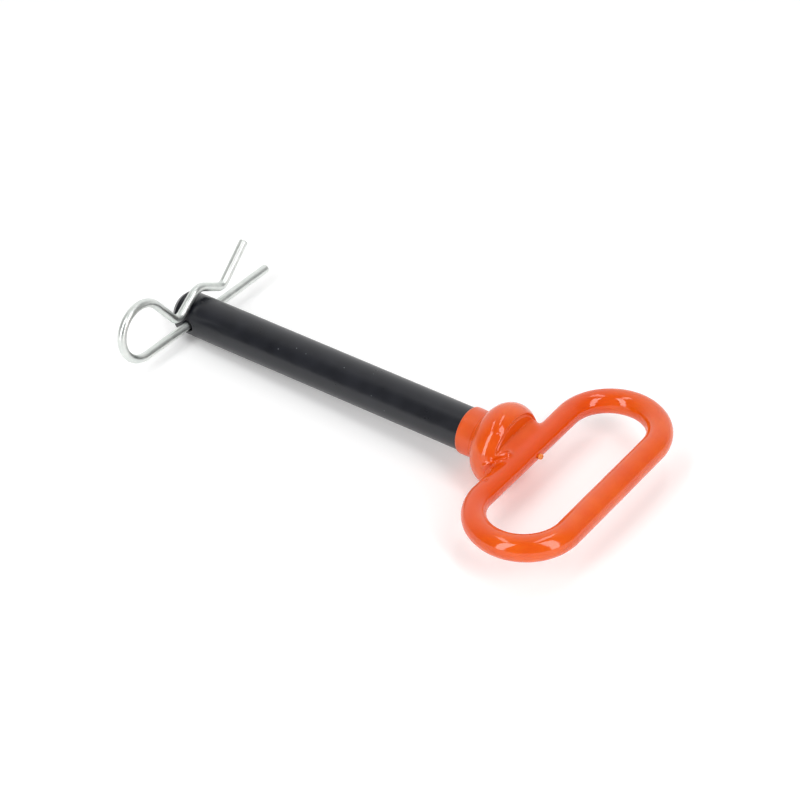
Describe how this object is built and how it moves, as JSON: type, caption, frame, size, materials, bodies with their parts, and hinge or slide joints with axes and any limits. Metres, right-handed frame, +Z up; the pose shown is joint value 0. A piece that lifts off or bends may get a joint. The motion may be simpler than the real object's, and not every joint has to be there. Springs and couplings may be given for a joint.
{
  "type": "handled hitch pin with hairpin clip",
  "caption": "Steel drawbar pin with a round collar and a vinyl-dipped slot-shaped hand loop, kept in place by a wire hairpin clip through its tip.",
  "frame": {"origin": "centre of the overall box at floor level, under the pin as it lies on its collar and its tip", "axes": "+X along the pin from its tip to its handle, +Y across towards the clip's open ends, +Z up"},
  "size_m": [0.2294, 0.1136, 0.0366],
  "materials": {
    "black_coated_steel": "satin black coating over forged steel",
    "orange_vinyl": "glossy soft vinyl dip",
    "zinc_plated_wire": "bright zinc-plated spring wire"
  },
  "bodies": {
    "pin": {"forged_pin": "black_coated_steel", "vinyl_grip": "orange_vinyl"},
    "clip": {"hairpin_clip": "zinc_plated_wire"}
  },
  "joints": [
    {"name": "clip_pull", "type": "slide", "parent": "pin", "child": "clip", "axis": [-0.0366, -0.9993, -0.0019], "range_m": [0, 0.065], "deforming": ["hairpin_clip"]}
  ]
}
